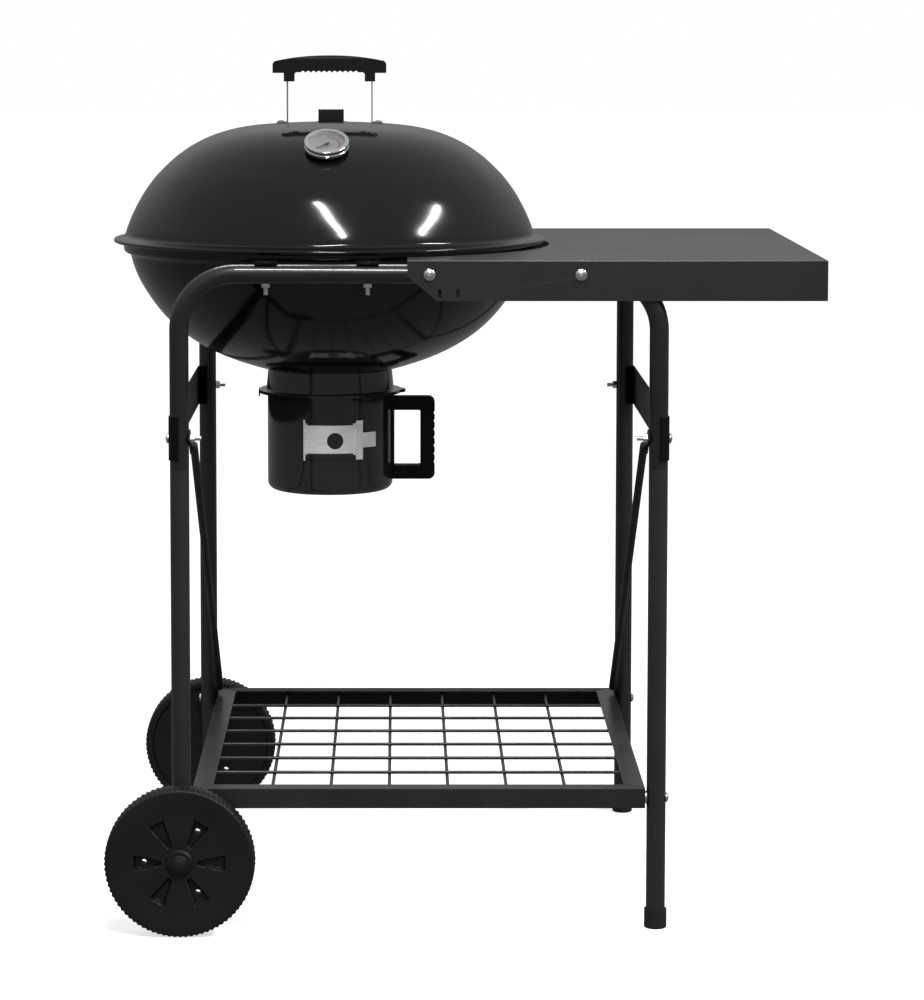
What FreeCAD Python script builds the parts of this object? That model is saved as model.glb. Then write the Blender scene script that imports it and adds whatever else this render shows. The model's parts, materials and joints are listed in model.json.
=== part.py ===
import FreeCAD, Part
import math
import os

V = FreeCAD.Vector

# ---------------------------------------------------------------- driving dimensions, mm
# Frame: +Z up, origin on the ground under the middle of the grill's outline, front faces -Y.
FRAME_HALF_DEPTH = 311.5      # front and rear tube frames lie in the planes y = -/+ this
LEG_X_LEFT = -348.38           # wheel-side legs
LEG_X_RIGHT = 246.62           # foot-side legs
TUBE_R = 12.0
TUBE_WALL = 1.2
BEND_R = 70.0                 # centreline radius of the frame's two top bends
RAIL_Z = 823.6                # centre height of the top rails
SEAM_Z = 581.0                # where the lower legs plug into the upper frames
SPIGOT_LEN = 62.0
BRACKET_BOLT_Z = 619.0
BRACKET_Z = (592.0, 646.0)
BRACKET_T = 1.5
BOLT_R = 2.9                  # M6 shank
HEAD_R = 6.2
SHELF_BOLT_Z = 166.0
SHELF_TOP_Z = 178.5
SHELF_BOTTOM_Z = 153.5
ANGLE_LEG = 25.0
ANGLE_T = 1.6
SHELF_HALF_DEPTH = 320.0
STRAP_T = 2.0                 # brace end tab between leg and shelf
WIRE_R = 2.1
WHEEL_R = 93.75
WHEEL_IN_Y = 330.0
WHEEL_OUT_Y = 368.0
AXLE_R = 5.0
BORE_R = 5.06
FOOT_R = 14.2
TABLE_X = (-65.38, 453.37)
TABLE_HALF_DEPTH = 325.9
TABLE_TOP_Z = 841.5
TABLE_SHEET = 1.4
APRON_H = 50.5
TABLE_CUT_R = 291.0
KETTLE_X = -167.38
LID_T = 1.3
BOWL_T = 1.3
LIP_R = 286.0
CAN_R = 83.2
CAN_T = 1.0
CAN_Z = (514.0, 645.4)
COLLAR_FLANGE_Z = 646.0
LUG_X = (-240.4, -114.4)
TABLE_BOLT_X = (-38.0, 148.9)
GRATE_Z = 823.5
COAL_Z = 741.0
PARTS = {}


def put(name, shapes):
    if not isinstance(shapes, (list, tuple)):
        shapes = [shapes]
    solids = []
    for s in shapes:
        solids += s.Solids
    PARTS[name] = solids


def box(x0, x1, y0, y1, z0, z1):
    return Part.makeBox(x1 - x0, y1 - y0, z1 - z0, V(x0, y0, z0))


def cyl(r, p, q):
    p, q = V(*p), V(*q)
    d = q - p
    return Part.makeCylinder(r, d.Length, p, d)


def tube(r, wall, p, q):
    return cyl(r, p, q).cut(cyl(r - wall, p, q))


def fuse(shapes):
    a = shapes[0]
    if len(shapes) > 1:
        a = a.multiFuse(shapes[1:])
    return a.removeSplitter()


def poly_face(pts):
    w = Part.makePolygon([V(*p) for p in pts] + [V(*pts[0])])
    return Part.Face(w)


def spline(pts, t0=None, t1=None):
    c = Part.BSplineCurve()
    if t0 is not None:
        c.interpolate(Points=[V(*p) for p in pts], InitialTangent=V(*t0), FinalTangent=V(*t1))
    else:
        c.interpolate([V(*p) for p in pts])
    return c


def line(p, q):
    return Part.makeLine(V(*p), V(*q))


def revolve(edges, cx=KETTLE_X, cy=0.0):
    w = Part.Wire(edges)
    f = Part.Face(w)
    s = f.revolve(V(cx, cy, 0), V(0, 0, 1), 360)
    return Part.Solid(s.Shells[0]) if s.ShapeType != "Solid" else s


def offset_points(curve, dist, n):
    """points at a constant distance on the inner side of a profile curve in the XZ plane"""
    out = []
    a, b = curve.FirstParameter, curve.LastParameter
    for i in range(n):
        u = a + (b - a) * i / (n - 1)
        p = curve.value(u)
        t = curve.tangent(u)[0]
        t.normalize()
        out.append((p.x + t.z * dist, 0, p.z - t.x * dist))
    return out


def hexagon(af, p, axis, h):
    """hexagonal prism, af across flats"""
    axis = V(*axis)
    ref = V(0, 0, 1) if abs(axis.z) < 0.9 else V(1, 0, 0)
    a = axis.cross(ref)
    a.normalize()
    b = axis.cross(a)
    r = af / math.sqrt(3)
    pts = []
    for i in range(6):
        t = math.radians(60 * i)
        pts.append(V(*p) + a * (r * math.cos(t)) + b * (r * math.sin(t)))
    return Part.Face(Part.makePolygon(pts + [pts[0]])).extrude(axis * h)


def placed(shape, origin, normal, xdir):
    n = V(*normal)
    n.normalize()
    x = V(*xdir)
    x = x - n * x.dot(n)
    x.normalize()
    y = n.cross(x)
    m = FreeCAD.Matrix(x.x, y.x, n.x, origin[0], x.y, y.y, n.y, origin[1], x.z, y.z, n.z, origin[2], 0, 0, 0, 1)
    s = shape.copy()
    s.transformShape(m)
    return s


def dome_head(r, h, p, axis):
    """round bolt head whose flat face is at p and which stands out along axis"""
    s = h * 0.58
    rs = (r * r + s * s) / (2 * s)
    t = math.asin(r / rs) / 2
    mid = V(rs * math.sin(t), 0, h - rs + rs * math.cos(t))
    w = Part.Wire([line((0, 0, 0), (r, 0, 0)), line((r, 0, 0), (r, 0, h - s)),
                   Part.Arc(V(r, 0, h - s), mid, V(0, 0, h)).toShape(), line((0, 0, h), (0, 0, 0))])
    d = Part.Face(w).revolve(V(0, 0, 0), V(0, 0, 1), 360)
    d = Part.Solid(d.Shells[0]) if d.ShapeType != "Solid" else d
    n = V(*axis)
    return placed(d, p, axis, (1, 0, 0) if abs(n.x) < 0.9 else (0, 1, 0))


# ---------------------------------------------------------------- kettle profiles (r, z)
LID_PTS = [(0, 1002.5), (70, 1000.4), (118, 995.2), (154.7, 984.9), (177.4, 974.3), (194.7, 963.2), (208.2, 952.5),
           (219.7, 941.6), (230.2, 930.6), (238.4, 920.0), (245.8, 909.3), (252.0, 898.7), (257.7, 887.9),
           (262.7, 877.2), (267.1, 866.2), (269.7, 858.6)]
BOWL_PTS = [(263.2, 827.0), (260.3, 816.0), (254.2, 800.0), (241.7, 777.7), (222.9, 752.0), (196.1, 726.0),
            (160.0, 703.0), (115.1, 684.4), (85.0, 675.6), (62.0, 670.6)]
K = KETTLE_X


def kp(r, z):
    return (K + r, 0, z)


lid_curve = spline([kp(*p) for p in LID_PTS], (1, 0, 0), (0.28, 0, -1))
lid_inner = offset_points(lid_curve, LID_T, 26)
lid_inner[0] = kp(0, 1002.5 - LID_T)
lid_inner_curve = spline(lid_inner, (1, 0, 0), (0.28, 0, -1))
# outer side: wall, fillet, sloping flange, rolled bead; back inside
e1 = lid_curve.toShape()
A = kp(*LID_PTS[-1])
B = (K + 272.8, 0, 853.4)
e2 = Part.Arc(V(*A), V(K + 270.7, 0, 855.2), V(*B)).toShape()
C = (K + 282.6, 0, 849.2)
e3 = line(B, C)
D = (K + 282.0, 0, 844.6)
e4 = Part.Arc(V(*C), V(K + LIP_R, 0, 846.6), V(*D)).toShape()
E = (K + 279.4, 0, 847.6)
e5 = Part.Arc(V(*D), V(K + 280.2, 0, 845.6), V(*E)).toShape()
F = (K + 271.6, 0, 851.9)
e6 = line(E, F)
G = lid_inner[-1]
e7 = Part.Arc(V(*F), V(K + 269.3, 0, 854.2), V(*G)).toShape()
e8 = lid_inner_curve.toShape()
e9 = line(lid_inner[0], kp(*LID_PTS[0]))
lid = revolve([e1, e2, e3, e4, e5, e6, e7, e8, e9])


def lid_z(r):
    """height and downward slope angle of the lid's outer surface at a radius"""
    a, b = lid_curve.FirstParameter, lid_curve.LastParameter
    for _ in range(60):
        m = (a + b) / 2
        if lid_curve.value(m).x - K < r:
            a = m
        else:
            b = m
    t = lid_curve.tangent(a)[0]
    return lid_curve.value(a).z, math.atan2(-t.z, t.x)


# bowl
bowl_curve = spline([kp(*p) for p in BOWL_PTS], (-0.18, 0, -1), (-1, 0, -0.19))
bowl_inner = offset_points(bowl_curve, BOWL_T, 26)
bowl_inner_curve = spline(bowl_inner, (-0.18, 0, -1), (-1, 0, -0.19))
RIM_TOP = 850.9
b1 = bowl_curve.toShape()
b2 = line(kp(*BOWL_PTS[-1]), bowl_inner[-1])
b3 = bowl_inner_curve.toShape()
P0 = kp(*BOWL_PTS[0])
P1 = kp(268.6, 831.2)
P2 = kp(272.8, 836.0)
P3 = kp(272.8, RIM_TOP)
P4 = kp(271.4, RIM_TOP)
P5 = kp(271.4, 836.6)
P6 = kp(267.7, 832.4)
P7 = bowl_inner[0]
b4 = Part.Arc(V(*P0), V(K + 264.9, 0, 830.1), V(*P1)).toShape()
b5 = Part.Arc(V(*P1), V(K + 271.7, 0, 832.6), V(*P2)).toShape()
b6 = line(P2, P3)
b7 = line(P3, P4)
b8 = line(P4, P5)
b9 = Part.Arc(V(*P5), V(K + 270.4, 0, 833.6), V(*P6)).toShape()
b10 = Part.Arc(V(*P6), V(K + 263.9, 0, 831.2), V(*P7)).toShape()
bowl = revolve([b1, b2, b3, b10, b9, b8, b7, b6, b5, b4])


def bowl_r(z):
    a, b = bowl_curve.FirstParameter, bowl_curve.LastParameter
    for _ in range(60):
        m = (a + b) / 2
        if bowl_curve.value(m).z > z:
            a = m
        else:
            b = m
    return bowl_curve.value(a).x - K


# ---------------------------------------------------------------- tube frame
def leg_y(side):
    return side * FRAME_HALF_DEPTH


def upper_frame(side):
    y = leg_y(side)
    xl, xr, zt = LEG_X_LEFT, LEG_X_RIGHT, RAIL_Z
    s = BEND_R * (1 - math.cos(math.radians(45)))
    edges = [line((xl, y, SEAM_Z), (xl, y, zt - BEND_R)),
             Part.Arc(V(xl, y, zt - BEND_R), V(xl + s, y, zt - s), V(xl + BEND_R, y, zt)).toShape(),
             line((xl + BEND_R, y, zt), (xr - BEND_R, y, zt)),
             Part.Arc(V(xr - BEND_R, y, zt), V(xr - s, y, zt - s), V(xr, y, zt - BEND_R)).toShape(),
             line((xr, y, zt - BEND_R), (xr, y, SEAM_Z))]
    path = Part.Wire(edges)
    out = []
    for r in (TUBE_R, TUBE_R - TUBE_WALL):
        prof = Part.Wire([Part.makeCircle(r, V(xl, y, SEAM_Z), V(0, 0, 1))])
        out.append(path.makePipeShell([prof], True, True))
    return out[0].cut(out[1])


def lower_leg(x, side, z0):
    y = leg_y(side)
    body = tube(TUBE_R, TUBE_WALL, (x, y, z0), (x, y, SEAM_Z - 0.2))
    spig_r = TUBE_R - TUBE_WALL - 0.08
    spig = tube(spig_r, TUBE_WALL, (x, y, SEAM_Z - 6), (x, y, SEAM_Z + SPIGOT_LEN))
    ring = cyl(TUBE_R - 0.3, (x, y, SEAM_Z - 8), (x, y, SEAM_Z - 0.2)).cut(
        cyl(spig_r - TUBE_WALL, (x, y, SEAM_Z - 9), (x, y, SEAM_Z)))
    return fuse([body, spig, ring])


frames = {"front_upper_frame": upper_frame(-1), "rear_upper_frame": upper_frame(1)}
LEG_END_LEFT = 76.0
LEG_END_RIGHT = 4.0
legs = {"front_left_leg": lower_leg(LEG_X_LEFT, -1, LEG_END_LEFT),
        "rear_left_leg": lower_leg(LEG_X_LEFT, 1, LEG_END_LEFT),
        "front_right_leg": lower_leg(LEG_X_RIGHT, -1, LEG_END_RIGHT),
        "rear_right_leg": lower_leg(LEG_X_RIGHT, 1, LEG_END_RIGHT)}

# axle holes in the wheel-side legs
axle_hole = cyl(AXLE_R + 0.08, (LEG_X_LEFT, -400, WHEEL_R), (LEG_X_LEFT, 400, WHEEL_R))
for n in ("front_left_leg", "rear_left_leg"):
    legs[n] = legs[n].cut(axle_hole)

# ---------------------------------------------------------------- side brackets and braces
brackets = {}
braces = {}
heads, nuts = [], []
holes_x = []                 # bolt holes along X: (x, y, z, inward sign)
for label, x, out in (("left", LEG_X_LEFT, -1), ("right", LEG_X_RIGHT, 1)):
    z0, z1 = BRACKET_Z
    pieces = []
    for side in (-1, 1):
        y = leg_y(side)
        ring = cyl(TUBE_R + 0.05 + BRACKET_T, (x, y, z0), (x, y, z1)).cut(cyl(TUBE_R + 0.05, (x, y, z0 - 1), (x, y, z1 + 1)))
        half = box(x if out > 0 else x - 20, x + 20 if out > 0 else x, y - 20, y + 20, z0 - 1, z1 + 1)
        pieces.append(ring.common(half))
    xo = x + out * (TUBE_R + 0.05)
    web = box(min(xo, xo + out * BRACKET_T), max(xo, xo + out * BRACKET_T), -FRAME_HALF_DEPTH, FRAME_HALF_DEPTH, z0, z1)
    br = fuse(pieces + [web])
    # pressed stiffening bead along the web
    bead = box(min(xo + out * BRACKET_T, xo + out * (BRACKET_T + 1.2)), max(xo + out * BRACKET_T, xo + out * (BRACKET_T + 1.2)),
               -FRAME_HALF_DEPTH + 40, FRAME_HALF_DEPTH - 40, 615, 623)
    br = br.fuse(bead).removeSplitter()
    brackets[label] = br
    # brace: round tube with flattened ends, front leg high to rear leg low, on the inner side
    xi = x - out * (TUBE_R + 0.05)
    xc = xi - out * STRAP_T / 2
    pa = V(xc, -FRAME_HALF_DEPTH, BRACKET_BOLT_Z)
    pb = V(xc, FRAME_HALF_DEPTH, SHELF_BOLT_Z)
    d = pb - pa
    L = d.Length
    d.normalize()
    nrm = V(0, -d.z, d.y)
    half_w = 8.0

    def strap(p, q, t0, t1):
        c0, c1 = p - nrm * half_w, p + nrm * half_w
        c2, c3 = q + nrm * half_w, q - nrm * half_w
        f = Part.Face(Part.makePolygon([V(xc - STRAP_T / 2, c.y, c.z) for c in (c0, c1, c2, c3, c0)]))
        return f.extrude(V(STRAP_T, 0, 0))

    tabs = [strap(pa - d * 9, pa + d * 26, 0, 0), strap(pb - d * 46, pb + d * 9, 0, 0)]
    r_t = 5.0
    xt = xi - out * (r_t + 0.02)
    q0, q1 = pa + d * 17, pb - d * 36
    rod = cyl(r_t, (xt, q0.y, q0.z), (xt, q1.y, q1.z))
    braces[label] = fuse(tabs + [rod])
    for (y, z) in ((-FRAME_HALF_DEPTH, BRACKET_BOLT_Z), (FRAME_HALF_DEPTH, BRACKET_BOLT_Z),
                   (-FRAME_HALF_DEPTH, SHELF_BOLT_Z), (FRAME_HALF_DEPTH, SHELF_BOLT_Z)):
        holes_x.append((x, y, z, out))

# ---------------------------------------------------------------- shelf
sx0 = LEG_X_LEFT + TUBE_R + 0.05 + STRAP_T + 0.05
sx1 = LEG_X_RIGHT - TUBE_R - 0.05 - STRAP_T - 0.05
sy = SHELF_HALF_DEPTH


def angle_rail(a, b, inward):
    """rail from a to b (corner points in XY); web stands on the outer line, flange lies on top pointing inward; mitred"""
    a, b, n = V(a[0], a[1], 0), V(b[0], b[1], 0), V(inward[0], inward[1], 0)
    d = b - a
    d.normalize()

    def prism(w, z0, z1):
        pts = [a, b, b - d * w + n * w, a + d * w + n * w]
        f = Part.Face(Part.makePolygon([V(p.x, p.y, z0) for p in pts + [pts[0]]]))
        return f.extrude(V(0, 0, z1 - z0))

    return fuse([prism(ANGLE_LEG, SHELF_TOP_Z - ANGLE_T, SHELF_TOP_Z), prism(ANGLE_T, SHELF_BOTTOM_Z, SHELF_TOP_Z)])


corners = [(sx0, -sy), (sx1, -sy), (sx1, sy), (sx0, sy)]
shelf = {"shelf_front_rail": angle_rail(corners[0], corners[1], (0, 1)),
         "shelf_right_rail": angle_rail(corners[1], corners[2], (-1, 0)),
         "shelf_rear_rail": angle_rail(corners[2], corners[3], (0, -1)),
         "shelf_left_rail": angle_rail(corners[3], corners[0], (1, 0))}
ix0, ix1 = sx0 + ANGLE_LEG, sx1 - ANGLE_LEG
iy = sy - ANGLE_LEG
wz = SHELF_TOP_Z - ANGLE_T - WIRE_R
wires = []
x_end0, x_end1 = sx0 + ANGLE_T + 0.1, sx1 - ANGLE_T - 0.1
for i in range(1, 7):
    y = -iy + 2 * iy * i / 7
    wires.append(cyl(WIRE_R, (x_end0 + 6, y, wz), (x_end1 - 6, y, wz)))
for i in range(1, 7):
    x = ix0 + (ix1 - ix0) * i / 7
    wires.append(cyl(WIRE_R, (x, -sy + ANGLE_T + 6, wz - 2 * WIRE_R + 0.8), (x, sy - ANGLE_T - 6, wz - 2 * WIRE_R + 0.8)))
put("shelf_wire_mesh", fuse(wires))

# ---------------------------------------------------------------- bolts along X through legs
bolt_shapes, nut_shapes = [], []
for (x, y, z, out) in holes_x:
    hi = abs(z - BRACKET_BOLT_Z) < 1
    x_out = x + out * (TUBE_R + 0.05 + (BRACKET_T if hi else 0.0))
    if hi:
        has_brace = y < 0
        x_in = x - out * (TUBE_R + 0.05 + (STRAP_T if has_brace else 0.0))
    else:
        x_in = x - out * (TUBE_R + 0.05 + STRAP_T + 0.05 + ANGLE_T)
    head = dome_head(HEAD_R, 3.6, (x_out + out * 0.02, y, z), (out, 0, 0))
    shank_end = x_in - out * (13.0 if hi else 8.0)
    shank = cyl(BOLT_R, (x_out + out * 0.6, y, z), (shank_end, y, z))
    bolt_shapes.append(head.fuse(shank).removeSplitter())
    nut = hexagon(10.0, (x_in - out * 0.02, y, z), (-out, 0, 0), 5.0)
    nut = nut.cut(cyl(BOLT_R + 0.05, (x_in + out * 5, y, z), (x_in - out * 20, y, z)))
    nut_shapes.append(nut)
    drill = cyl(BOLT_R + 0.1, (x + out * 30, y, z), (x - out * 30, y, z))
    side = "front" if y < 0 else "rear"
    label = "left" if out < 0 else "right"
    if hi:
        frames[side + "_upper_frame"] = frames[side + "_upper_frame"].cut(drill)
        brackets[label] = brackets[label].cut(drill)
        if y < 0:
            braces[label] = braces[label].cut(drill)
    else:
        shelf["shelf_" + label + "_rail"] = shelf["shelf_" + label + "_rail"].cut(drill)
        if y > 0:
            braces[label] = braces[label].cut(drill)
        else:
            # packing washer where the rear has the brace tab
            wsh = cyl(8.0, (x - out * (TUBE_R + 0.05), y, z), (x - out * (TUBE_R + 0.05 + STRAP_T), y, z)).cut(drill)
            nut_shapes.append(wsh)
    legs[side + "_" + label + "_leg"] = legs[side + "_" + label + "_leg"].cut(drill)

# ---------------------------------------------------------------- feet
for label, side in (("front", -1), ("rear", 1)):
    y = leg_y(side)
    x = LEG_X_RIGHT
    outer = cyl(FOOT_R, (x, y, 0), (x, y, 24))
    bottom_edges = [e for e in outer.Edges if abs(e.BoundBox.ZMax) < 0.01]
    outer = outer.makeFillet(2.0, bottom_edges)
    cup = outer.cut(cyl(TUBE_R + 0.05, (x, y, 4.0), (x, y, 25)))
    plug = cyl(TUBE_R - TUBE_WALL - 0.1, (x, y, 3.9), (x, y, 26)).cut(cyl(7.6, (x, y, 8), (x, y, 27)))
    put(label + "_right_foot_cap", fuse([cup, plug]))
# ---------------------------------------------------------------- axle and wheels
axle = cyl(AXLE_R, (LEG_X_LEFT, -WHEEL_OUT_Y - 3, WHEEL_R), (LEG_X_LEFT, WHEEL_OUT_Y + 3, WHEEL_R))


def wheel(side):
    x, z = LEG_X_LEFT, WHEEL_R
    yi, yo = side * WHEEL_IN_Y, side * WHEEL_OUT_Y

    # section in (radius, offset from inner face) revolved about the axle; 0 = inner face, w = outer face
    w = WHEEL_OUT_Y - WHEEL_IN_Y
    prof = [(BORE_R, -3.0), (13.0, -3.0), (13.0, 5.0), (81.5, 5.0), (84.0, 0.8), (89.0, 0.6), (92.4, 2.4), (WHEEL_R, 5.6),
            (WHEEL_R, w - 5.6), (92.4, w - 3.2), (90.6, w - 1.9), (82.0, w - 2.0), (60.0, w - 3.9), (17.2, w - 4.4),
            (15.0, w - 1.4), (BORE_R, w - 1.4)]
    pts = [V(x + r, yi + side * o, z) for r, o in prof]
    face = Part.Face(Part.makePolygon(pts + [pts[0]]))
    body = face.revolve(V(x, 0, z), V(0, 1, 0), 360)
    body = Part.Solid(body.Shells[0]) if body.ShapeType != "Solid" else body
    # six wedge pockets in the outer face, three of them with a through hole
    cuts = []
    for k in range(6):
        a = math.radians(60 * k)
        wedge = [(22.6, -3.0), (22.6, 3.0), (57.0, 10.4), (57.0, -10.4)]
        pp = []
        for r, t in wedge:
            pp.append(V(x + r * math.cos(a) - t * math.sin(a), 0, z + r * math.sin(a) + t * math.cos(a)))
        f = Part.Face(Part.makePolygon(pp + [pp[0]]))
        pr = f.extrude(V(0, side * 14.0, 0))
        pr.translate(V(0, yo - side * 10.6, 0))
        cuts.append(pr)
        if k % 2 == 1:
            hx, hz = x + 44.5 * math.cos(a), z + 44.5 * math.sin(a)
            cuts.append(cyl(4.2, (hx, side * 300, hz), (hx, side * 400, hz)))
    # tread: shallow grooves across the tyre's face
    for k in range(60):
        a = math.radians(6 * k + 3)
        gx, gz = x + WHEEL_R * math.cos(a), z + WHEEL_R * math.sin(a)
        g = box(-1.2, 2.0, 0, 14, -1.5, 1.5)
        g.rotate(V(0, 0, 0), V(0, 1, 0), -math.degrees(a))
        y_in = min(yi, yo)
        for y0 in (y_in - 0.5, y_in + w - 13.5):
            gg = g.copy()
            gg.translate(V(gx, y0, gz))
            cuts.append(gg)
    return body.cut(Part.makeCompound(cuts))


put("front_wheel", wheel(-1))
put("rear_wheel", wheel(1))
put("axle", axle)
caps, washers = [], []
for side in (-1, 1):
    y = WHEEL_OUT_Y - 1.1
    tip = WHEEL_OUT_Y + 3.05
    pr = [(AXLE_R + 0.02, y), (11.8, y), (11.8, y + 2.4), (11.0, y + 3.6), (9.2, y + 4.2), (8.6, y + 4.4), (8.0, y + 5.8), (5.4, y + 6.8),
          (2.4, y + 7.2), (0.0, y + 7.3), (0.0, tip), (AXLE_R + 0.02, tip)]
    pts = [V(LEG_X_LEFT + a, side * b, WHEEL_R) for a, b in pr]
    c = Part.Face(Part.makePolygon(pts + [pts[0]])).revolve(V(LEG_X_LEFT, 0, WHEEL_R), V(0, 1, 0), 360)
    caps.append(Part.Solid(c.Shells[0]) if c.ShapeType != "Solid" else c)
    y0 = FRAME_HALF_DEPTH + TUBE_R + 0.1
    y1 = WHEEL_IN_Y - 3.0 - 0.3
    washers.append(cyl(9.0, (LEG_X_LEFT, side * y0, WHEEL_R), (LEG_X_LEFT, side * y1, WHEEL_R)).cut(
        cyl(AXLE_R + 0.04, (LEG_X_LEFT, side * 300, WHEEL_R), (LEG_X_LEFT, side * 360, WHEEL_R))))
put("axle_cap_nuts", caps)
put("axle_spacers", washers)

# ---------------------------------------------------------------- side table
tx0, tx1 = TABLE_X
ty, tt = TABLE_HALF_DEPTH, TABLE_TOP_Z
tb = tt - APRON_H
outer = box(tx0, tx1, -ty, ty, tb, tt)
edges = [e for e in outer.Edges if abs(e.BoundBox.ZMin - tt) < 1e-3 and abs(e.BoundBox.ZMax - tt) < 1e-3 and e.BoundBox.XMax > tx0 + 1]
edges += [e for e in outer.Edges if abs(e.BoundBox.XMin - tx1) < 1e-3 and abs(e.BoundBox.XMax - tx1) < 1e-3 and e.BoundBox.ZLength > 10]
outer = outer.makeFillet(1.8, edges)
inner = box(tx0 - 5, tx1 - TABLE_SHEET, -ty + TABLE_SHEET, ty - TABLE_SHEET, tb - 5, tt - TABLE_SHEET)
inner_edges = [e for e in inner.Edges if abs(e.BoundBox.ZMin - (tt - TABLE_SHEET)) < 1e-3 and abs(e.BoundBox.ZMax - (tt - TABLE_SHEET)) < 1e-3 and e.BoundBox.XMax > tx0]
inner_edges += [e for e in inner.Edges if abs(e.BoundBox.XMin - (tx1 - TABLE_SHEET)) < 1e-3 and abs(e.BoundBox.XMax - (tx1 - TABLE_SHEET)) < 1e-3 and e.BoundBox.ZLength > 10]
inner = inner.makeFillet(0.5, inner_edges)
table = outer.cut(inner)
table = table.cut(cyl(TABLE_CUT_R, (KETTLE_X, 0, tb - 1), (KETTLE_X, 0, tt + 1)).common(box(-500, 500, -300, 300, tb - 2, tt + 2)))
# chamfered lower left corners of both aprons
ch = poly_face([(tx0 - 1, -ty - 1, 822.5), (tx0 - 1, -ty - 1, tb - 1), (-27.4, -ty - 1, tb - 1)]).extrude(V(0, 2 * ty + 2, 0))
table = table.cut(ch)
# inward hem along the lower edge of the aprons
hems = []
for s in (-1, 1):
    y0, y1 = sorted((s * (ty - 0.2), s * (ty - 9.0)))
    hems.append(box(-18.4, tx1 - 0.6, y0, y1, tb, tb + TABLE_SHEET))
hems.append(box(tx1 - 9.0, tx1 - 0.2, -ty + 1.0, ty - 1.0, tb, tb + TABLE_SHEET))
table = fuse([table] + hems)
for s in (-1, 1):
    y0, y1 = sorted((s * (ty - 14.0), s * (ty - TABLE_SHEET)))
    table = table.cut(box(208, 264, y0, y1, tb - 1, tb + TABLE_SHEET + 0.1))
for x in (-25.5, -3.1):
    for s in (-1, 1):
        sl = box(x - 2.2, x + 2.2, s * ty - 6, s * ty + 6, 795.6, 805.6)
        table = table.cut(sl)

# table bolts through apron and rail
t_bolts, t_nuts = [], []
for s in (-1, 1):
    for x in TABLE_BOLT_X:
        y_face = s * (ty + 0.02)
        head = dome_head(7.2, 4.4, (x, y_face, RAIL_Z), (0, s, 0))
        shank = cyl(BOLT_R, (x, s * (ty + 0.6), RAIL_Z), (x, s * (FRAME_HALF_DEPTH - TUBE_R - 12), RAIL_Z))
        t_bolts.append(head.fuse(shank).removeSplitter())
        drill = cyl(BOLT_R + 0.1, (x, s * (ty + 5), RAIL_Z), (x, s * 290, RAIL_Z))
        table = table.cut(drill)
        nm = "front_upper_frame" if s < 0 else "rear_upper_frame"
        frames[nm] = frames[nm].cut(drill)
        y_in = s * (FRAME_HALF_DEPTH - TUBE_R - 0.05)
        nut = hexagon(10.0, (x, y_in, RAIL_Z), (0, -s, 0), 5.0).cut(drill)
        t_nuts.append(nut)
put("table_bolts", t_bolts)
nut_shapes += t_nuts
put("side_table", table)

# ---------------------------------------------------------------- kettle lugs on the rails
bowl_solid_r = Part.makeCylinder(272.8 + 0.02, 40, V(KETTLE_X, 0, 829), V(0, 0, 1))
wall_cone = []
lug_studs, lug_nuts, lugs = [], [], []
outer_bowl = revolve([line(kp(0, 860), kp(272.8, 860)), line(kp(272.8, 860), P2), b5.copy(), b4.copy(), b1.copy(),
                      line(kp(*BOWL_PTS[-1]), kp(0, 670.6)), line(kp(0, 670.6), kp(0, 860))])
for s in (-1, 1):
    for x in LUG_X:
        dx = x - KETTLE_X
        plate_z = RAIL_Z + TUBE_R + 0.05
        y_rail = s * (FRAME_HALF_DEPTH + 9)
        y_b = s * 245.0
        y0, y1 = sorted((y_rail, y_b))
        plate = box(x - 14, x + 14, y0, y1, plate_z, plate_z + 2.2)
        y2, y3 = sorted((s * (FRAME_HALF_DEPTH - TUBE_R - 3), s * 235.0))
        web = box(x - 1.2, x + 1.2, y2, y3, 806.0, plate_z + 1)
        pad_y0, pad_y1 = sorted((s * 235.0, s * 262.5))
        lug = fuse([plate, web]).cut(outer_bowl)
        drill = cyl(BOLT_R + 0.1, (x, s * FRAME_HALF_DEPTH, RAIL_Z - 40), (x, s * FRAME_HALF_DEPTH, RAIL_Z + 40))
        lug = lug.cut(drill)
        sol = [q for q in lug.Solids if abs(q.CenterOfMass.y) > 245]
        lugs += sol
        shank = cyl(BOLT_R, (x, s * FRAME_HALF_DEPTH, plate_z + 2.2), (x, s * FRAME_HALF_DEPTH, RAIL_Z - TUBE_R - 14))
        lug_studs.append(shank)
        nut = hexagon(10.0, (x, s * FRAME_HALF_DEPTH, RAIL_Z - TUBE_R - 0.05), (0, 0, -1), 4.6).cut(drill)
        lug_nuts.append(nut)
        nm = "front_upper_frame" if s < 0 else "rear_upper_frame"
        frames[nm] = frames[nm].cut(drill)
put("bowl_lugs", lugs)
put("lug_studs", lug_studs)
put("lug_nuts", lug_nuts)
put("frame_bolts", bolt_shapes)
put("frame_nuts", nut_shapes)
for n, s in frames.items():
    put(n, s)
for n, s in legs.items():
    put(n, s)
for n, s in shelf.items():
    put(n, s)
for lab in ("left", "right"):
    put(lab + "_side_bracket", brackets[lab])
    put(lab + "_brace", braces[lab])

# ---------------------------------------------------------------- grates
grate_z = GRATE_Z


def disc_grate(R, ring_r, bar_r, pitch, z, cross, ends=0.0):
    ring = Part.makeTorus(R - ring_r, ring_r, V(KETTLE_X, 0, z), V(0, 0, 1))
    parts = [ring]
    n = int((R - ring_r * 2) // pitch)
    for i in range(-n, n + 1):
        d = i * pitch
        half = math.sqrt(max((R - ring_r) ** 2 - d * d, 0))
        if half < 20:
            continue
        parts.append(cyl(bar_r, (KETTLE_X + d, -half, z), (KETTLE_X + d, half, z)))
    for yy in cross:
        half = math.sqrt((R - ring_r) ** 2 - yy * yy)
        parts.append(cyl(bar_r * 0.75, (KETTLE_X - half, yy, z - bar_r * 0.6), (KETTLE_X + half, yy, z - bar_r * 0.6)))
    return fuse(parts)


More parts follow.
